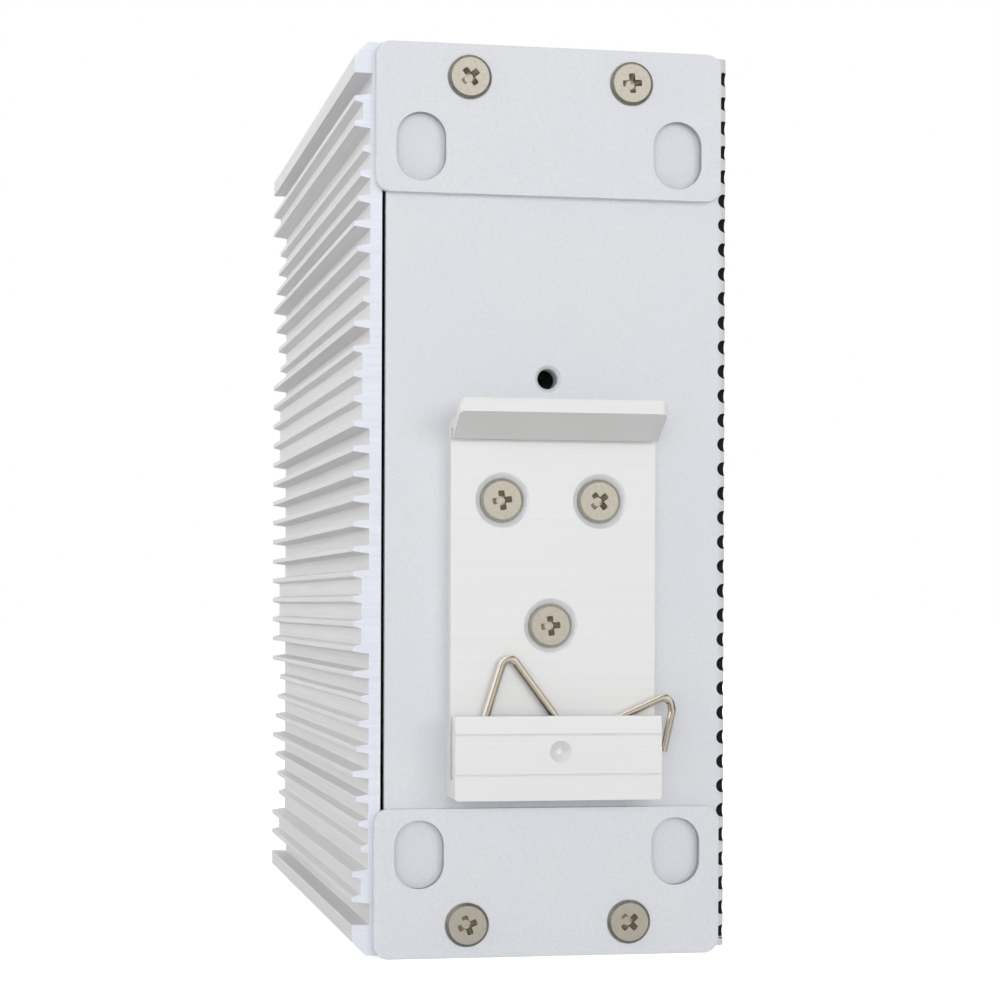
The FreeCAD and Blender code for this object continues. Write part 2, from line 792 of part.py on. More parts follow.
def port_light_boxes(grow):
    """The two light windows beside each latch slot, grown all round."""
    boxes = []
    for x, z, side in ports():
        near_x = x - side * (cavity_height / 2 + 0.3)
        far_x = near_x - side * light_height
        for offset in (-light_offset, light_offset):
            low, high = sorted((near_x, far_x))
            boxes.append(box((low - grow, high + grow), (front_y, front_y + light_depth + grow),
                             (z + offset - light_width / 2 - grow,
                              z + offset + light_width / 2 + grow)))
    return boxes


def jack_shell():
    """The folded metal shield round the jacks, open over each cavity."""
    outer = box((board_face_x, jack_top_x), (front_y, front_y + jack_depth),
                (jack_low_z, jack_high_z))
    inner = box((board_face_x - 1, jack_top_x - shell_thickness),
                (front_y + shell_thickness, front_y + jack_depth - shell_thickness),
                (jack_low_z + shell_thickness, jack_high_z - shell_thickness))
    cuts = [inner] + port_light_boxes(0.15)
    cuts += [port_cavity(x, z, side, 0.1, front_y - 1, 2) for x, z, side in ports()]
    return outer.cut(cuts)


def jack_insert(row):
    """One row's moulding with its cavities; the two rows meet in the middle."""
    gap = shell_thickness
    x_range = (board_face_x, jack_middle_x) if row == 0 else (jack_middle_x, jack_top_x - gap)
    block = box(x_range, (front_y + gap, front_y + jack_depth - gap),
                (jack_low_z + gap, jack_high_z - gap))
    cuts = port_light_boxes(0.0)
    cuts += [port_cavity(x, z, side, 0.0, front_y - 1, cavity_depth + 1)
             for x, z, side in ports()]
    return block.cut(cuts)


def jack_contacts():
    """Eight sloping spring contacts in each cavity."""
    solids = []
    for x, z, side in ports():
        wall_x = x + side * cavity_height / 2
        profile = [(contact_start, 0), (contact_start + 0.6, 0),
                   (contact_end, contact_drop - contact_thickness),
                   (contact_end, contact_drop), (contact_start, contact_thickness)]
        for index in range(contacts_per_port):
            offset = (index - (contacts_per_port - 1) / 2) * contact_pitch
            low_z = z + offset - contact_width / 2
            points = [Vector(wall_x - side * drop, front_y + y, low_z) for y, drop in profile]
            solids.append(prism(points, AXIS_Z * contact_width))
    return solids


def status_light_pipes():
    """Clear light pipes from the board's lights to the panel."""
    solids = []
    foot_x = board_face_x + status_led_height + led_gap
    for index in range(pipe_count):
        z = pipe_first_z + index * pipe_pitch
        reach = pipe_reach + pipe_proud
        nose = cylinder(Vector(pipe_x, front_y - pipe_proud, z), AXIS_Y, pipe_radius, reach)
        rear = front_y + pipe_reach
        low_z = z - pipe_radius
        side_profile = [Vector(foot_x, rear - pipe_radius, low_z),
                        Vector(pipe_x + pipe_radius, rear - pipe_radius, low_z),
                        Vector(pipe_x - pipe_radius, rear + pipe_radius, low_z),
                        Vector(foot_x, rear + pipe_radius, low_z)]
        solids.append(joined([nose, prism(side_profile, AXIS_Z * pipe_radius * 2)]))
    return solids


def status_leds():
    """Surface-mounted lights under the feet of the light pipes."""
    solids = []
    for index in range(pipe_count):
        z = pipe_first_z + index * pipe_pitch
        y = front_y + pipe_reach
        solids.append(box((board_face_x, board_face_x + status_led_height),
                          (y - 1.0, y + 1.0), (z - 0.6, z + 0.6)))
    return solids


def pole_centres():
    """The heights of the terminal's poles."""
    first = header_low_z + header_wall + pole_pitch / 2
    return [first + index * pole_pitch for index in range(pole_count)]


def pin_tail_span(centre, grow):
    """Where a pin's tail goes through the board, as its y and z ranges."""
    tail_y = header_floor_y + pin_side
    half = pin_side / 2 + grow
    return (tail_y - half, tail_y + half), (centre - half, centre + half)


def header_room(grow):
    """The hollow of the header that the plug goes into."""
    return box((board_face_x + header_wall - grow, header_top_x - header_wall + grow),
               (front_y - 1, header_floor_y),
               (header_low_z + header_wall - grow, header_high_z - header_wall + grow))


def header_pin(centre, grow):
    """One square pin: a run along Y and a tail down through the board."""
    half = pin_side / 2 + grow
    tail_y, tail_z = pin_tail_span(centre, grow)
    run = box((header_middle_x - half, header_middle_x + half),
              (header_floor_y - pin_length - grow, tail_y[1]), tail_z)
    tail = box((board_x - pin_tail, header_middle_x + half), tail_y, tail_z)
    return joined([run, tail])


def terminal_header():
    """The shrouded header on the board's front edge."""
    body = box((board_face_x, header_top_x), (front_y, header_rear_y),
               (header_low_z, header_high_z))
    return body.cut([header_room(0)] + [header_pin(centre, 0) for centre in pole_centres()])


def header_pins():
    """The four bent pins of the header."""
    return [header_pin(centre, 0) for centre in pole_centres()]


def wire_entry(centre, grow, depth):
    """The square room for one conductor in the plug's front."""
    half_height = entry_height / 2 + grow
    half_width = entry_width / 2 + grow
    return box((header_middle_x - half_height, header_middle_x + half_height),
               (front_y - plug_reach - 1, front_y - plug_reach + depth),
               (centre - half_width, centre + half_width))


def clamp_y_range():
    """Where the clamps sit behind the plug's face."""
    start = front_y - plug_reach + clamp_setback
    return start, start + clamp_length


def terminal_plug():
    """The plug: a stem that fits the header and a head for the wires."""
    fit = plug_fit
    stem = box((board_face_x + header_wall + fit, header_top_x - header_wall - fit),
               (front_y - plug_lip, header_floor_y - fit),
               (header_low_z + header_wall + fit, header_high_z - header_wall - fit))
    head = box((board_face_x, header_top_x), (front_y - plug_reach, front_y - plug_lip),
               (header_low_z, header_high_z))
    cuts = []
    start, end = clamp_y_range()
    for centre in pole_centres():
        cuts.append(wire_entry(centre, 0, entry_depth))
        cuts.append(header_pin(centre, pin_fit))
        top = Vector(header_middle_x, (start + end) / 2, centre)
        cuts.append(cylinder(top, AXIS_X, terminal_hole_radius, header_height))
    return joined([stem, head]).cut(cuts)


def terminal_clamps():
    """Folded cage clamps inside the plug's wire entries."""
    solids = []
    start, end = clamp_y_range()
    for centre in pole_centres():
        outer = wire_entry(centre, -clamp_fit, entry_depth)
        inner = wire_entry(centre, -clamp_fit - clamp_wall, entry_depth + 1)
        span = box((board_face_x, header_top_x), (start, end), (header_low_z, header_high_z))
        solids.append(outer.cut(inner).common(span))
    return solids


def terminal_screws():
    """The clamp screws, set below the plug's upper face."""
    solids = []
    start, end = clamp_y_range()
    for centre in pole_centres():
        foot = Vector(header_middle_x + entry_height / 2 - clamp_fit, (start + end) / 2, centre)
        screw = cylinder(foot, AXIS_X, terminal_screw_radius, terminal_screw_height)
        slot_low = foot.x + terminal_screw_height / 2
        slot = box((slot_low, slot_low + terminal_screw_height),
                   (foot.y - terminal_screw_radius, foot.y + terminal_screw_radius),
                   (centre - 0.3, centre + 0.3))
        solids.append(screw.cut(slot))
    return solids


def on_board(centre_y, centre_z, length_y, length_z, height, lift=0.0):
    """A block that stands on the board's face."""
    return box((board_face_x + lift, board_face_x + lift + height),
               (centre_y - length_y / 2, centre_y + length_y / 2),
               (centre_z - length_z / 2, centre_z + length_z / 2))


def chip_centre():
    """The switch chip's place, behind the middle of the jacks."""
    y = front_y + jack_depth + chip_behind_jacks + chip_side / 2
    return y, (jack_low_z + jack_high_z) / 2


def switch_chip():
    """The switch chip's moulded body with chamfered upper edges."""
    y, z = chip_centre()
    body = on_board(y, z, chip_side, chip_side, chip_height)
    top = [edge for edge in body.Edges
           if edge.BoundBox.XMin > board_face_x + chip_height - 0.01]
    return body.makeChamfer(0.3, top)


def chip_pad():
    """The thermal pad between the chip and the heat block."""
    y, z = chip_centre()
    return on_board(y, z, heat_block_foot - 1, heat_block_foot - 1, pad_thickness, chip_height)


def heat_block():
    """The stepped block that carries the chip's heat to the cover."""
    y, z = chip_centre()
    start = chip_height + pad_thickness
    total = cover_inner_x - cover_pad_thickness - board_face_x - start
    foot = on_board(y, z, heat_block_foot, heat_block_foot, heat_block_step, start)
    head = on_board(y, z, heat_block_side, heat_block_side, total - heat_block_step,
                    start + heat_block_step)
    return joined([foot, head])


def cover_pad():
    """The thermal pad between the heat block and the cover."""
    y, z = chip_centre()
    lift = cover_inner_x - cover_pad_thickness - board_face_x
    return on_board(y, z, heat_block_side - 1, heat_block_side - 1, cover_pad_thickness, lift)


def phy_chips():
    """Two smaller chips, one on each side of the switch chip."""
    y, z = chip_centre()
    return [on_board(y + phy_setback, z + side * phy_spacing, phy_side, phy_side, phy_height)
            for side in (-1, 1)]


def line_magnetics():
    """Isolating magnetics in a row behind the jacks."""
    y = front_y + jack_depth + magnetics_gap + magnetics_width / 2
    pitch = jack_length / port_columns
    return [on_board(y, jack_low_z + (column + 0.5) * pitch, magnetics_width,
                     pitch - magnetics_gap, magnetics_height)
            for column in range(port_columns)]


def power_row_y():
    """The front edge of the power parts behind the header."""
    return header_rear_y + power_row_gap


def bulk_capacitors():
    """Three upright capacitors with a bead rolled near the foot."""
    solids = []
    y = power_row_y() + capacitor_radius
    for index in range(capacitor_count):
        z = header_high_z - capacitor_radius - index * capacitor_pitch
        low = capacitor_groove_height - capacitor_groove
        high = capacitor_groove_height + capacitor_groove
        neck = capacitor_radius - capacitor_groove
        outline = [(0, 0), (0, capacitor_radius), (low, capacitor_radius),
                   (capacitor_groove_height, neck), (high, capacitor_radius),
                   (capacitor_height, capacitor_radius), (capacitor_height, 0)]
        corners = [Vector(board_face_x + rise, y + radius, z) for rise, radius in outline]
        half = Part.Face(Part.makePolygon(corners + corners[:1]))
        solids.append(half.revolve(Vector(board_face_x, y, z), AXIS_X, 360))
    return solids


def inductor_y():
    """The middle of the two power inductors."""
    return power_row_y() + 2 * capacitor_radius + inductor_gap + inductor_side / 2


def power_inductors():
    """Two shielded inductors with rounded corners."""
    solids = []
    y = inductor_y()
    for index in range(2):
        z = header_high_z - inductor_side / 2 - index * (inductor_side + inductor_gap)
        body = on_board(y, z, inductor_side, inductor_side, inductor_height)
        corners = [edge for edge in body.Edges
                   if abs(edge.tangentAt(edge.FirstParameter).x) > 0.99]
        solids.append(body.makeFillet(1.5, corners))
    return solids


def transformer_centre():
    """The power transformer, behind the inductors."""
    y = inductor_y() + inductor_side / 2 + transformer_gap
    z = header_high_z - transformer_drop - transformer_length / 2
    return y + transformer_width / 2, z


def transformer_core():
    """A ferrite frame round the winding."""
    y, z = transformer_centre()
    outer = on_board(y, z, transformer_width, transformer_length, transformer_height,
                     bobbin_foot)
    window = on_board(y, z, transformer_width + 2, transformer_length - 2 * transformer_wall,
                      transformer_height - 2 * transformer_wall, bobbin_foot + transformer_wall)
    return outer.cut(window)


def transformer_bobbin():
    """The wound bobbin inside the core, with a foot on the board."""
    y, z = transformer_centre()
    opening = transformer_length - 2 * transformer_wall
    depth = transformer_width + 2 * transformer_skirt
    winding = on_board(y, z, depth, opening, transformer_height - 2 * transformer_wall,
                       bobbin_foot + transformer_wall)
    foot = on_board(y, z, depth, transformer_length, bobbin_foot)
    skirts = [on_board(y + side * (transformer_width + transformer_skirt) / 2, z,
                       transformer_skirt, opening, bobbin_foot + 2 * transformer_wall)
              for side in (-1, 1)]
    return joined([winding, foot] + skirts)


NODES = {
    "chassis": chassis,
    "heat_sink_cover": heat_sink_cover,
    "upper_wall_plate": lambda: wall_plate(overall_height - plate_height, 1),
    "lower_wall_plate": lambda: wall_plate(0.0, -1),
    "din_rail_bracket": din_rail_bracket,
    "clip_spring": clip_spring,
    "wall_plate_screws": wall_plate_screws,
    "bracket_screws": bracket_screws,
    "cover_screws": cover_screws,
    "main_board": main_board,
    "board_standoffs": board_standoffs,
    "board_screws": board_screws,
    "jack_shell": jack_shell,
    "lower_jack_insert": lambda: jack_insert(0),
    "upper_jack_insert": lambda: jack_insert(1),
    "jack_contacts": jack_contacts,
    "port_lights": lambda: port_light_boxes(0.0),
    "status_light_pipes": status_light_pipes,
    "status_leds": status_leds,
    "terminal_header": terminal_header,
    "header_pins": header_pins,
    "terminal_plug": terminal_plug,
    "terminal_clamps": terminal_clamps,
    "terminal_screws": terminal_screws,
    "switch_chip": switch_chip,
    "chip_pad": chip_pad,
    "heat_block": heat_block,
    "cover_pad": cover_pad,
    "phy_chips": phy_chips,
    "line_magnetics": line_magnetics,
    "bulk_capacitors": bulk_capacitors,
    "power_inductors": power_inductors,
    "transformer_core": transformer_core,
    "transformer_bobbin": transformer_bobbin,
}


def main():
    """Write one STEP file for each node."""
    os.makedirs("parts", exist_ok=True)
    for name, build in NODES.items():
        made = build()
        shape = Part.makeCompound(made) if isinstance(made, list) else made
        shape.exportStep(f"parts/{name}.step")
        print(name, len(shape.Solids), "solids", round(shape.Volume, 1), shape.isValid())


main()
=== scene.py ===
"""Looks for the DIN rail Ethernet switch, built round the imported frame.

Lengths are in metres. The rear panel faces +Y, the ports -Y, the cooling fins +X and the
vented side -X.
"""

import json
import math

import bmesh
import bpy
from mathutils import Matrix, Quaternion, Vector


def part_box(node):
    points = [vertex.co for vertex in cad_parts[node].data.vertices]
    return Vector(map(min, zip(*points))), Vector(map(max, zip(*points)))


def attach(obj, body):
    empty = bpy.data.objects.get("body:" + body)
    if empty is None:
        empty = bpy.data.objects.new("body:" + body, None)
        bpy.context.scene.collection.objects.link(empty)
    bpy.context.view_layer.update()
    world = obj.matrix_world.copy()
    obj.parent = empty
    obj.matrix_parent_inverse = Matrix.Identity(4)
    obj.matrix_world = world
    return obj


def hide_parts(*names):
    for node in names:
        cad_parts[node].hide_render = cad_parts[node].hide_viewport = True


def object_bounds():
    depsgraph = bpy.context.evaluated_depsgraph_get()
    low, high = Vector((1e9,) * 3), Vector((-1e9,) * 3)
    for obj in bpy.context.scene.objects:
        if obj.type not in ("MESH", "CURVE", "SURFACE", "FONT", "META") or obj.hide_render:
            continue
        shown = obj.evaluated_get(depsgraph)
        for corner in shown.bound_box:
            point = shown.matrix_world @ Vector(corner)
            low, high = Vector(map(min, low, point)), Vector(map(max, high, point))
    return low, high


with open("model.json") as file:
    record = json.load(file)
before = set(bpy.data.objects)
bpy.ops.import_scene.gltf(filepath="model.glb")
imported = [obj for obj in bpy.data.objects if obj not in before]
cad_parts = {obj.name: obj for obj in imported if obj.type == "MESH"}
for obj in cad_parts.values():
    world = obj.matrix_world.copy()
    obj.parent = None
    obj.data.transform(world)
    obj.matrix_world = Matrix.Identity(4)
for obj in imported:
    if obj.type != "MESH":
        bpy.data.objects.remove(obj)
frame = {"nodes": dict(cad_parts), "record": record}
cad_low, cad_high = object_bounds()
nodes = frame["nodes"]

MM = 0.001
X_AXIS, Y_AXIS = 0, 1
BLACK, WHITE = (0, 0, 0, 1), (1, 1, 1, 1)

# The boxes of the case and the rail bracket, read from the frame
case_low, case_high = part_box("chassis")
bracket_low, bracket_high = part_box("din_rail_bracket")
rear_y = case_high.y


# Node graph helpers

# The part of a noise's range that is spread over a material's colours and roughness
NOISE_LOW, NOISE_HIGH = 0.3, 0.7


def feed(tree, node, inputs):
    """Sets inputs of a node, each from a fixed value or from another node's output."""
    for socket, value in inputs.items():
        if isinstance(value, bpy.types.NodeSocket):
            tree.links.new(value, node.inputs[socket])
        else:
            node.inputs[socket].default_value = value
    return node


def add_node(tree, kind, inputs=None, operation=None):
    """A new shader node with its inputs set."""
    node = tree.nodes.new("ShaderNode" + kind)
    if operation:
        node.operation = operation
    return feed(tree, node, inputs or {})


class Graph:
    """A material with a Principled shader and short calls for its nodes."""

    def __init__(self, name):
        self.material = bpy.data.materials.new(name)
        self.material.use_nodes = True
        self.tree = self.material.node_tree
        self.shader = self.tree.nodes["Principled BSDF"]
        self.coordinates = self.add("TexCoord").outputs["Object"]

    def add(self, kind, inputs=None, operation=None):
        """A new node of this material."""
        return add_node(self.tree, kind, inputs, operation)

    def set(self, **values):
        """Fixed values for the shader, with _ for the spaces in their names."""
        feed(self.tree, self.shader,
             {name.replace("_", " "): value for name, value in values.items()})

    def stretched(self, scale):
        """Object coordinates scaled by a different factor along each axis."""
        mapping = self.add("Mapping", {"Vector": self.coordinates, "Scale": scale})
        return mapping.outputs["Vector"]

    def noise(self, scale, detail=2.0, roughness=0.5, vector=None):
        """Soft noise, about 0.5, with the scale in repeats per metre."""
        node = self.add("TexNoise", {"Vector": vector or self.coordinates, "Scale": scale,
                                     "Detail": detail, "Roughness": roughness})
        return node.outputs["Fac"]

    def cells(self, scale, feature="F1", vector=None):
        """The distance to the centres or the edges of irregular cells."""
        node = self.add("TexVoronoi", {"Vector": vector or self.coordinates, "Scale": scale})
        node.feature = feature
        return node.outputs["Distance"]

    def ramp(self, value, stops):
        """A value turned into the colours of a row of stops."""
        node = self.add("ValToRGB", {"Fac": value})
        ramp = node.color_ramp
        ramp.elements[0].position, ramp.elements[0].color = stops[0]
        ramp.elements[1].position, ramp.elements[1].color = stops[-1]
        for position, colour in stops[1:-1]:
            ramp.elements.new(position).color = colour
        return node.outputs["Color"]

    def shades(self, noise, dark, light):
        """A noise turned into the shades from a dark to a light one."""
        return self.ramp(noise, [(NOISE_LOW, dark), (NOISE_HIGH, light)])

    def mask(self, value, full, none):
        """A factor that is 1 up to the first value and falls to 0 at the second."""
        return self.ramp(value, [(full, WHITE), (none, BLACK)])

    def spread(self, noise, low, high):
        """A noise spread over a range, as a number."""
        node = self.add("MapRange", {"Value": noise, "From Min": NOISE_LOW,
                                     "From Max": NOISE_HIGH, "To Min": low, "To Max": high})
        return node.outputs["Result"]

    def mixed(self, factor, first, second):
        """Two colours, mixed by a factor."""
        node = self.add("Mix")
        node.data_type = "RGBA"
        colour_a, colour_b, result = 6, 7, 2  # sockets whose names are not unique
        feed(self.tree, node, {0: factor, colour_a: first, colour_b: second})
        return node.outputs[result]

    def added(self, first, second, weight=1.0):
        """The first value and the second one times its weight."""
        node = self.add("Math", {0: second, 1: weight, 2: first}, "MULTIPLY_ADD")
        return node.outputs[0]

    def bump(self, height, distance, strength):
        """Fine relief on the surface."""
        node = self.add("Bump", {"Height": height, "Distance": distance, "Strength": strength})
        feed(self.tree, self.shader, {"Normal": node.outputs["Normal"]})

    def colour(self, output):
        """Links the shader's colour."""
        feed(self.tree, self.shader, {"Base Color": output})

    def roughness(self, output):
        """Links the shader's roughness."""
        feed(self.tree, self.shader, {"Roughness": output})


def rgb(red, green, blue):
    """A colour given as it shows on a screen, 0 to 255, in linear light."""
    def linear(value):
        """One channel in linear light."""
        value /= 255
        return value / 12.92 if value <= 0.04045 else ((value + 0.055) / 1.055) ** 2.4
    return linear(red), linear(green), linear(blue), 1.0


# Materials

def case_paint():
    """Silver powder coat with a fine grain and metallic flecks."""
    g = Graph("case_paint")
    grain = g.noise(5200, 3, 0.6)
    cloud = g.noise(90)
    flecks = g.cells(4200)
    base = g.shades(grain, rgb(212, 214, 218), rgb(223, 225, 229))
    base = g.mixed(g.spread(cloud, 0.0, 0.2), base, rgb(212, 215, 224))
    g.colour(g.mixed(g.mask(flecks, 0.05, 0.16), base, rgb(232, 233, 236)))
    g.roughness(g.spread(grain, 0.42, 0.58))
    g.set(Metallic=0.15)
    g.bump(g.added(grain, flecks, 0.4), 0.03 * MM, 0.5)
    return g.material


def extruded(name, dark, light, along, metallic, rough):
    """Clear anodised aluminium with fine drawing lines along one axis."""
    g = Graph(name)
    line_scale = [2600.0] * 3
    line_scale[along] = 22.0
    lines = g.noise(1.0, 4, 0.65, g.stretched(line_scale))
    grain = g.noise(3800)
    cloud = g.noise(60)
    base = g.shades(lines, dark, light)
    g.colour(g.mixed(g.spread(cloud, 0.0, 0.3), base, dark))
    g.roughness(g.spread(g.added(grain, lines, 0.5), *rough))
    g.set(Metallic=metallic)
    g.bump(g.added(lines, grain, 0.5), 0.012 * MM, 0.6)
    return g.material


def plated(name, dark, light, rough, along=None):
    """Plated or bare metal with fine marks, drawn out into lines where it has an axis."""
    g = Graph(name)
    scale = [2400.0] * 3
    if along is not None:
        scale[along] = 120.0
    marks = g.noise(1.0, 3, 0.6, g.stretched(scale))
    spots = g.noise(700)
    g.colour(g.shades(marks, dark, light))
    g.roughness(g.spread(g.added(marks, spots, 0.6), *rough))
    g.set(Metallic=1.0)
    g.bump(marks, 0.01 * MM, 0.5)
    return g.material


def wire_with_painted_reflections():
    """Nickel plated wire with bands of painted highlight and painted dark reflection along its
    flanks.

    The shades follow the way each flank faces, from 0 for the side that faces down and
    away from the fins to 1 for the side that faces up and towards them.
    """
    g = Graph("spring_wire")
    normal = g.add("TexCoord").outputs["Normal"]
    side = g.add("VectorMath", {0: normal, 1: (0.8, 0, 0.6)}, "DOT_PRODUCT").outputs["Value"]
    around = g.add("MapRange", {"Value": side, "From Min": -1.0}).outputs["Result"]
    # The pale band on the upward side is a painted highlight, and the two dark bands are painted
    # dark reflections.
    pale, warm, dark_reflection = rgb(243, 237, 227), rgb(221, 212, 196), rgb(132, 112, 97)
    lines = g.ramp(around, [(0.0, warm), (0.22, warm), (0.29, dark_reflection), (0.36, warm), (0.54, warm),
                            (0.61, dark_reflection), (0.66, dark_reflection), (0.74, pale), (1.0, pale)])
    marks = g.noise(1500, 3, 0.6)
    g.colour(g.mixed(g.spread(marks, 0.0, 0.35), lines, warm))
    g.roughness(g.spread(marks, 0.06, 0.14))
    g.set(Metallic=1.0)
    g.bump(marks, 0.01 * MM, 0.5)
    return g.material


def moulded(name, dark, light, roughness):
    """Moulded plastic, rubber or paint with a fine grain."""
    g = Graph(name)
    grain = g.noise(4200, 3, 0.6)
    cloud = g.noise(220)
    base = g.shades(grain, dark, light)
    g.colour(g.mixed(g.spread(cloud, 0.0, 0.25), base, dark))
    g.roughness(g.spread(grain, roughness - 0.06, roughness + 0.08))
    g.bump(grain, 0.02 * MM, 0.5)
    return g.material


def painted_vent_shadow():
    """Near black painted shadow for the walls deep in the vent slots."""
    g = Graph("painted_vent_shadow")
    shadow_grain = g.noise(2600, 3)
    g.colour(g.shades(shadow_grain, rgb(16, 17, 19), rgb(34, 36, 40)))
    g.roughness(g.spread(shadow_grain, 0.6, 0.8))
    g.set(Specular_IOR_Level=0.2)
    g.bump(shadow_grain, 0.02 * MM, 0.5)
    return g.material


def solder_mask():
    """Green solder mask over copper tracks and filled areas."""
    g = Graph("board")
    tracks = g.cells(620, "DISTANCE_TO_EDGE", g.stretched((1.0, 1.0, 0.45)))
    weave = g.noise(2400)
    base = g.shades(weave, rgb(14, 72, 44), rgb(20, 88, 54))
    g.colour(g.mixed(g.mask(tracks, 0.06, 0.1), base, rgb(38, 118, 72)))
    g.roughness(g.spread(weave, 0.28, 0.4))
    g.bump(tracks, 0.03 * MM, 0.4)
    return g.material


def clear_moulding():
    """Clear moulded plastic of the light pipes."""
    g = Graph("clear_pipe")
    flow = g.noise(300)
    g.colour(g.shades(flow, rgb(226, 232, 232), rgb(242, 246, 246)))
    g.roughness(g.spread(flow, 0.06, 0.14))
    g.set(IOR=1.49, Transmission_Weight=0.85)
    g.bump(flow, 0.01 * MM, 0.4)
    return g.material


def make_materials():
    """One material for each material slot of the record."""
    extrusions = {
        "cover_anodised": (rgb(219, 219, 221), rgb(231, 231, 233), Y_AXIS, 0.3, (0.4, 0.52)),
        "bracket_anodised": (rgb(227, 227, 226), rgb(231, 231, 231), X_AXIS, 0.2, (0.42, 0.5)),
        "heat_block": (rgb(196, 197, 198), rgb(216, 217, 218), X_AXIS, 0.8, (0.3, 0.42)),
    }
    metals = {
        "screw_steel": (rgb(204, 197, 183), rgb(212, 206, 192), (0.16, 0.24)),
        "brass_plated": (rgb(196, 190, 176), rgb(214, 208, 194), (0.25, 0.4)),
        "jack_shield": (rgb(196, 196, 194), rgb(216, 216, 214), (0.26, 0.4), Y_AXIS),
        "contact_gold": (rgb(214, 170, 84), rgb(236, 196, 110), (0.2, 0.3)),
        "tinned_pin": (rgb(200, 200, 196), rgb(220, 220, 216), (0.25, 0.4)),
        "clamp_steel": (rgb(188, 190, 192), rgb(210, 212, 214), (0.28, 0.42)),
        "capacitor_can": (rgb(190, 190, 190), rgb(210, 210, 210), (0.3, 0.45)),
    }
    mouldings = {
        "jack_plastic": (rgb(22, 22, 23), rgb(34, 34, 35), 0.42),
        "light_diffuser": (rgb(196, 214, 186), rgb(214, 230, 204), 0.3),
        "led_body": (rgb(226, 220, 186), rgb(238, 233, 204), 0.25),
        "terminal_plastic": (rgb(46, 128, 74), rgb(58, 144, 86), 0.4),
        "chip_epoxy": (rgb(26, 26, 28), rgb(38, 38, 40), 0.55),
        "thermal_pad": (rgb(136, 150, 164), rgb(152, 166, 178), 0.8),
        "ferrite": (rgb(44, 44, 47), rgb(60, 60, 63), 0.6),
        "winding_tape": (rgb(206, 164, 44), rgb(222, 182, 62), 0.35),
    }
    made = {"case_paint": case_paint(), "spring_wire": wire_with_painted_reflections(),
            "board": solder_mask(), "clear_pipe": clear_moulding()}
    for make, looks in ((extruded, extrusions), (plated, metals), (moulded, mouldings)):
        for slot, look in looks.items():
            made[slot] = make(slot, *look)
    return made


# Geometry helpers

MERGE_DISTANCE = 2e-6               # corners closer than this are one corner
FLAT_ANGLE = math.radians(0.6)      # facets that meet at less are one face
SMOOTH_ANGLE = math.radians(30)     # edges below it are shaded smooth
BEVEL_ANGLE = math.radians(32)      # edges above it are rounded off
BEVEL_SEGMENTS = 2


def clean_copy(name):
    """The node's mesh with its flat triangles joined into faces again."""
    mesh = bpy.data.meshes.new(name + "_dressed")
    bm = bmesh.new()
    bm.from_mesh(nodes[name].data)
    bmesh.ops.remove_doubles(bm, verts=bm.verts, dist=MERGE_DISTANCE)
    bmesh.ops.dissolve_limit(bm, angle_limit=FLAT_ANGLE, verts=bm.verts, edges=bm.edges)
    bm.to_mesh(mesh)
    bm.free()
    return mesh


def shade(mesh):
    """Smooth shading that stops at sharp edges."""
    mesh.polygons.foreach_set("use_smooth", [True] * len(mesh.polygons))
    mesh.set_sharp_from_angle(angle=SMOOTH_ANGLE)
    mesh.update()


def rounded_copy(name, width):
    """A piece that stands for a node, with its sharp edges rounded off."""
    piece = bpy.data.objects.new(name + "_dressed", clean_copy(name))
    bpy.context.scene.collection.objects.link(piece)
    shade(piece.data)
    bevel = piece.modifiers.new("edges", "BEVEL")
    bevel.width = width
    bevel.segments = BEVEL_SEGMENTS
    bevel.limit_method = "ANGLE"
    bevel.angle_limit = BEVEL_ANGLE
    bevel.use_clamp_overlap = True
    weighted = piece.modifiers.new("normals", "WEIGHTED_NORMAL")
    weighted.weight = 100
    weighted.keep_sharp = True
    bpy.context.view_layer.update()
    rounded = bpy.data.meshes.new_from_object(
        piece.evaluated_get(bpy.context.evaluated_depsgraph_get()))
    piece.modifiers.clear()
    piece.data = rounded
    return piece


def screw_axes(mesh):
    """Where the axis of each screw of a mesh lies, in X and Z."""
    bm = bmesh.new()
    bm.from_mesh(mesh)
    bm.verts.ensure_lookup_table()
    left = set(range(len(bm.verts)))
    axes = []
    while left:
        front = [bm.verts[min(left)]]
        left.discard(front[0].index)
        xs, zs = [], []
        while front:
            vertex = front.pop()
            xs.append(vertex.co.x)
            zs.append(vertex.co.z)
            for edge in vertex.link_edges:
                other = edge.other_vert(vertex)
                if other.index in left:
                    left.discard(other.index)
                    front.append(other)
        axes.append(((min(xs) + max(xs)) / 2, (min(zs) + max(zs)) / 2))
    bm.free()
    return axes


# Choices of faces that get another material than the rest of their piece: most get painted
# shade, some painted light, the dimple its own finish. A tilt is the Y part of a face's
# normal: 1 faces the rear as the panel does, 0 stands square to the panel.

CONE_TILTS = (0.6, 0.8)
RECESS_REACH = 1.3 * MM                # from a screw's axis
RECESS_TILT = 0.8                      # walls of a recess stay below it
SLOT_BORDER = 1.0 * MM                 # strip along a plate's outline, outside its slots
SLOT_TILT = 0.5                        # walls of a slot stay below it
DIMPLE_TILTS = (0.5, 0.95)
DIMPLE_SLANT = 0.01                    # least sideways part of the dimple's normals
DIMPLE_REACH = 5 * MM                  # to either side of the bracket's middle
DIMPLE_TOP = bracket_low.z + 8 * MM    # the dimple lies below, the countersinks above
HOOK_BOTTOM = bracket_high.z - 6 * MM  # the countersinks lie below, the hook above
HOOK_TILT = 0.2                        # the hook's underside faces the rear by more
HOOK_SLOPE = -0.3                      # and down by more
SAWN_TILT = 0.9
FOLD_RADIUS = 1.2 * MM                 # outside of the fold between the side and the rear
VENT_REACH = 1.6 * MM                  # how far the slots run from the fold, at most
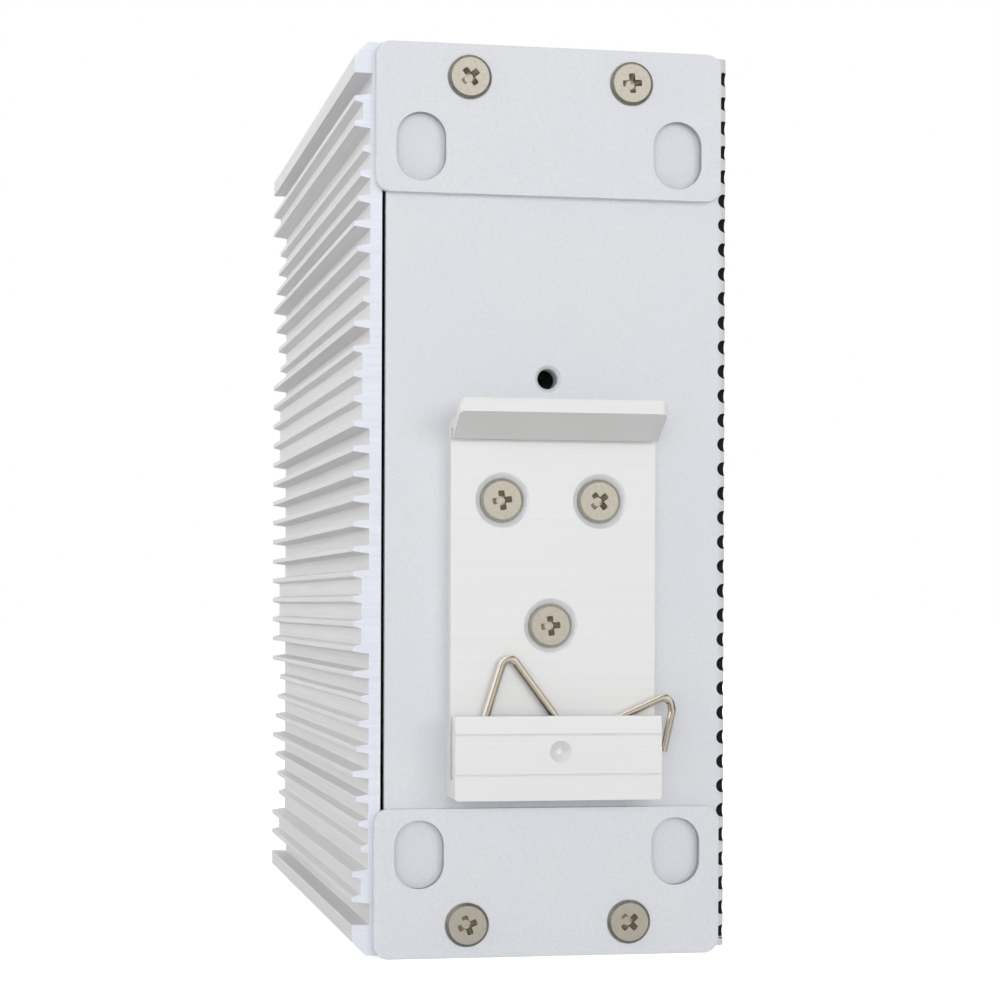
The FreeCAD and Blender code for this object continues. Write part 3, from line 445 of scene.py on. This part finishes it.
VENT_SHADOW_DEPTH = 0.1 * MM                        # vent walls deeper than this get the painted shadow
SEAM_ZONE = 0.8 * MM                   # at the top and the bottom, where no slot lies


def tilted(face, tilts):
    """Whether a face's tilt lies between two tilts."""
    return tilts[0] < face.normal.y < tilts[1]


def on_cone(face):
    """Whether a face slopes as a countersink and the rim of a screw head do."""
    return tilted(face, CONE_TILTS)


def recess_walls(piece):
    """Chooses the walls of the cross recess in every screw head of a piece."""
    axes = screw_axes(piece.data)

    def chosen(face):
        """Whether a face is steep and close to the axis of a screw."""
        x, _, z = face.center
        return abs(face.normal.y) < RECESS_TILT and any(
            math.hypot(x - axis_x, z - axis_z) < RECESS_REACH for axis_x, axis_z in axes)
    return chosen


def slot_walls(name):
    """Chooses the walls of a wall plate's slots, which are painted darker as painted shade."""
    low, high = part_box(name)

    def chosen(face):
        """Whether a face is steep and away from the plate's outline."""
        x, _, z = face.center
        inside = (low.x + SLOT_BORDER < x < high.x - SLOT_BORDER
                  and low.z + SLOT_BORDER < z < high.z - SLOT_BORDER)
        return inside and abs(face.normal.y) < SLOT_TILT
    return chosen


def in_dimple(face):
    """Whether a face of the bracket belongs to the dimple in its block."""
    sloped = abs(face.normal.x) > DIMPLE_SLANT and tilted(face, DIMPLE_TILTS)
    return sloped and abs(face.center.x) < DIMPLE_REACH and face.center.z < DIMPLE_TOP


def in_countersink(face):
    """Whether a face of the bracket belongs to one of its three countersinks."""
    return on_cone(face) and DIMPLE_TOP < face.center.z < HOOK_BOTTOM


def under_hook(face):
    """Whether a face of the bracket is the sloping underside of its upper hook."""
    sloped = face.normal.z < HOOK_SLOPE and face.normal.y > HOOK_TILT
    return sloped and face.center.z > HOOK_BOTTOM


def sawn(face):
    """Whether a face of the cover is one of its sawn ends."""
    return abs(face.normal.y) > SAWN_TILT


def in_vent(face):
    """Whether a face of the case lies in a vent slot, deep enough to get the painted shadow."""
    x, y, z = face.center
    if x >= case_low.x + VENT_REACH or y <= rear_y - VENT_REACH:
        return False
    fold = Vector((case_low.x + FOLD_RADIUS, rear_y - FOLD_RADIUS))
    if x < fold.x and y > fold.y:
        depth = FOLD_RADIUS - (Vector((x, y)) - fold).length
    else:
        depth = min(x - case_low.x, rear_y - y)
    return depth > VENT_SHADOW_DEPTH and case_low.z + SEAM_ZONE < z < case_high.z - SEAM_ZONE


# Pieces

# How far the edges of the dressed pieces are rounded off
EDGE_WIDTHS = {
    "chassis": 0.08 * MM,
    "heat_sink_cover": 0.1 * MM,
    "upper_wall_plate": 0.12 * MM,
    "lower_wall_plate": 0.12 * MM,
    "din_rail_bracket": 0.1 * MM,
    "wall_plate_screws": 0.12 * MM,
    "bracket_screws": 0.12 * MM,
    "cover_screws": 0.12 * MM,
    "board_screws": 0.1 * MM,
    "terminal_plug": 0.15 * MM,
    "terminal_header": 0.15 * MM,
}

# The painted shade on the rims of the screw heads at the rear, darker than the heads: name,
# shades and roughness
RIMS = {
    "wall_plate_screws": ("shaded_rim", rgb(122, 120, 115), rgb(150, 147, 141), (0.2, 0.32)),
    "bracket_screws": ("rim", rgb(164, 158, 148), rgb(186, 180, 168), (0.2, 0.32)),
}


def repaint(piece, material, chosen):
    """Gives the chosen faces another material."""
    piece.data.materials.append(material)
    for face in piece.data.polygons:
        if chosen(face):
            face.material_index = len(piece.data.materials) - 1


def touch_up(name, piece):
    """Repaints chosen faces of a piece: painted shade in the vent slots, on the slot walls,
    the hook's underside and the screw rims and recesses; painted light on the countersinks
    and the sawn ends, along with their own finish; and the dimple's own finish.
    """
    if name == "chassis":
        # The walls deep in the vent slots are painted near black: painted shadow inside the
        # slots.
        repaint(piece, painted_vent_shadow(), in_vent)
    elif name == "heat_sink_cover":
        # The sawn ends keep their saw marks; their bluer, brighter tint is painted light, the
        # cool front light on faces turned to the rear.
        repaint(piece, extruded("sawn_end", rgb(221, 224, 233), rgb(231, 234, 243), X_AXIS,
                                0.3, (0.4, 0.5)), sawn)
    elif name in ("upper_wall_plate", "lower_wall_plate"):
        # The slot walls are painted darker than the plate: painted shade inside the slots.
        repaint(piece, moulded("slot_wall", rgb(164, 167, 174), rgb(176, 179, 186), 0.5),
                slot_walls(name))
    elif name == "din_rail_bracket":
        repaint(piece, extruded("dimple", rgb(224, 225, 227), rgb(232, 233, 235), X_AXIS,
                                0.45, (0.26, 0.36)), in_dimple)
        # The countersinks are painted lighter than the bracket: painted highlight, along with
        # their slightly more metallic machined finish.
        repaint(piece, extruded("countersink", rgb(228, 230, 234), rgb(238, 240, 243), X_AXIS,
                                0.25, (0.24, 0.34)), in_countersink)
        # The hook's underside is painted darker than the bracket: painted shade on a face turned
        # down.
        repaint(piece, extruded("hook_underside", rgb(212, 212, 211), rgb(216, 216, 216), X_AXIS,
                                0.25, (0.4, 0.5)), under_hook)
    elif name in RIMS:
        # The head rims are painted dark: painted shade and dark reflection round each head.
        repaint(piece, plated(*RIMS[name]), on_cone)
        # The recess walls are painted darker than the head: painted shade inside the cross
        # recess.
        repaint(piece, plated(name + "_recess", rgb(184, 176, 162), rgb(198, 190, 176),
                              (0.16, 0.26)), recess_walls(piece))


def paint(piece, slot):
    """Gives a piece or a node the material of its slot."""
    piece.data.materials.clear()
    piece.data.materials.append(materials[slot])


def dress_nodes():
    """Every node gets its slot's material; those with an edge width get rounded edges too."""
    record = frame["record"]
    bodies = {name: body for body, names in record["behaviour"]["bodies"].items()
              for name in names}
    for part in record["subparts"]:
        name, slot = part["node"], part["material_slot"]
        if name not in EDGE_WIDTHS:
            paint(nodes[name], slot)
            shade(nodes[name].data)
            continue
        piece = rounded_copy(name, EDGE_WIDTHS[name])
        paint(piece, slot)
        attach(piece, bodies[name])
        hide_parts(name)
        touch_up(name, piece)


# Stage

# The studio's strength and tint as a light
WORLD_LIGHT = 0.34
WORLD_TINT = (1.0, 0.99, 0.975, 1)

# What reflections show: flags where a direction hardly faces the bright side, then a
# gradual change to the full white
BRIGHT_SIDE = (0.3, 0.75, 0.5)
DARK_UNTIL = -0.1
BRIGHT_FROM = 0.5
FLAG_LIGHT = 0.08

# Half the floor's side, the gap between it and the object, and its glow as it is seen
FLOOR_HALF = 6.0
FLOOR_GAP = 0.02 * MM
FLOOR_GLOW = 0.8

# Each lamp's name, place, size, power in watts and colour
LAMPS = (
    ("front", (-0.12, rear_y + 1.1, 0.05), (1.5, 0.8), 12.4, (0.99, 0.99, 1.0)),
    ("left", (0.28, rear_y + 0.4, 0.02), (0.2, 0.4), 0.34, (0.84, 0.92, 1.0)),
    ("fins", (0.9, rear_y - 0.05, 0.3), (1.0, 0.8), 4.0, (1.0, 0.968, 0.925)),
    ("vents", (-0.9, -0.2, 0.45), (1.0, 0.8), 2.6, (1.0, 0.99, 0.97)),
    ("ports", (0.15, -1.1, 0.3), (1.3, 1.0), 5.0, (1.0, 0.99, 0.97)),
)
LAMP_AIM = Vector((0, rear_y, 0.055))

CAMERA_PLACE = (0.06345, rear_y + 0.3039, 0.0425)
CAMERA_LENS = 92.0
CAMERA_SENSOR = 36.0
CAMERA_SHIFT = 0.105
CAMERA_NEAR = 0.02
CAMERA_YAW = math.radians(10.85)
CAMERA_ROLL = math.radians(-0.2)


def background(tree, strength, colour):
    """The studio at one strength."""
    return add_node(tree, "Background", {"Color": colour, "Strength": strength}).outputs[0]


def flagged(tree):
    """The studio's strength in reflections, low on the vented side and below."""
    split = add_node(tree, "SeparateXYZ", {0: add_node(tree, "TexCoord").outputs["Generated"]})
    front_or_back = add_node(tree, "Math", {0: split.outputs["Y"]}, "ABSOLUTE")
    folded = add_node(tree, "CombineXYZ", {"X": split.outputs["X"],
                                           "Y": front_or_back.outputs[0],
                                           "Z": split.outputs["Z"]})
    towards = add_node(tree, "VectorMath", {0: folded.outputs[0], 1: BRIGHT_SIDE}, "DOT_PRODUCT")
    strength = add_node(tree, "MapRange", {
        "Value": towards.outputs["Value"], "From Min": DARK_UNTIL, "From Max": BRIGHT_FROM,
        "To Min": FLAG_LIGHT, "To Max": 1.0})
    return strength.outputs["Result"]


def make_world():
    """A white studio: full strength where it is seen, softer as a light.

    Reflections show it with the dark flags that stand beside and below the object.
    """
    world = bpy.data.worlds.new("studio")
    bpy.context.scene.world = world
    world.use_nodes = True
    tree = world.node_tree
    tree.nodes.clear()
    path = add_node(tree, "LightPath").outputs
    seen = add_node(tree, "Math", {0: path["Is Camera Ray"], 1: path["Is Transmission Ray"]},
                    "MAXIMUM")
    unseen = add_node(tree, "MixShader", {0: path["Is Glossy Ray"],
                                          1: background(tree, WORLD_LIGHT, WORLD_TINT),
                                          2: background(tree, flagged(tree), WHITE)})
    both = add_node(tree, "MixShader", {0: seen.outputs[0], 1: unseen.outputs[0],
                                        2: background(tree, 1.0, WHITE)})
    add_node(tree, "OutputWorld", {"Surface": both.outputs[0]})


def make_floor():
    """A pale floor that shows white and keeps the object's soft shadow."""
    mesh = bpy.data.meshes.new("floor")
    corners = [(-1, -1), (1, -1), (1, 1), (-1, 1)]
    mesh.from_pydata([(FLOOR_HALF * x, FLOOR_HALF * y, 0) for x, y in corners], [],
                     [(0, 1, 2, 3)])
    floor = bpy.data.objects.new("floor", mesh)
    floor.location.z = cad_low.z - FLOOR_GAP
    bpy.context.scene.collection.objects.link(floor)
    material = bpy.data.materials.new("floor")
    material.use_nodes = True
    tree = material.node_tree
    plain = feed(tree, tree.nodes["Principled BSDF"], {
        "Base Color": (0.9, 0.9, 0.9, 1), "Roughness": 0.9, "Specular IOR Level": 0.0})
    glow = add_node(tree, "Emission", {"Strength": FLOOR_GLOW})
    glowing = add_node(tree, "AddShader", {0: plain.outputs[0], 1: glow.outputs[0]})
    path = add_node(tree, "LightPath")
    mix = add_node(tree, "MixShader", {0: path.outputs["Is Camera Ray"], 1: plain.outputs[0],
                                       2: glowing.outputs[0]})
    feed(tree, tree.nodes["Material Output"], {"Surface": mix.outputs[0]})
    mesh.materials.append(material)


def make_lights():
    """Two lamps before the rear panel, one beside the fins and two for the far sides."""
    for name, place, size, power, colour in LAMPS:
        data = bpy.data.lights.new(name, "AREA")
        data.shape = "RECTANGLE"
        data.size, data.size_y = size
        data.energy = power
        data.color = colour
        lamp = bpy.data.objects.new(name, data)
        lamp.location = place
        lamp.visible_glossy = False
        lamp.rotation_mode = "QUATERNION"
        lamp.rotation_quaternion = (LAMP_AIM - Vector(place)).to_track_quat("-Z", "Y")
        bpy.context.scene.collection.objects.link(lamp)


def make_camera():
    """The camera stands behind the device, a little to the finned side."""
    data = bpy.data.cameras.new("camera")
    data.sensor_width = CAMERA_SENSOR
    data.lens = CAMERA_LENS
    data.shift_y = CAMERA_SHIFT
    data.clip_start = CAMERA_NEAR
    camera = bpy.data.objects.new("camera", data)
    camera.location = CAMERA_PLACE
    camera.rotation_mode = "QUATERNION"
    forward = Vector((-math.sin(CAMERA_YAW), -math.cos(CAMERA_YAW), 0))
    level = forward.to_track_quat("-Z", "Y")
    camera.rotation_quaternion = Quaternion(forward, CAMERA_ROLL) @ level
    bpy.context.scene.collection.objects.link(camera)
    bpy.context.scene.camera = camera


materials = make_materials()
dress_nodes()
make_world()
make_floor()
make_lights()
make_camera()
bpy.context.scene.view_settings.view_transform = "Standard"
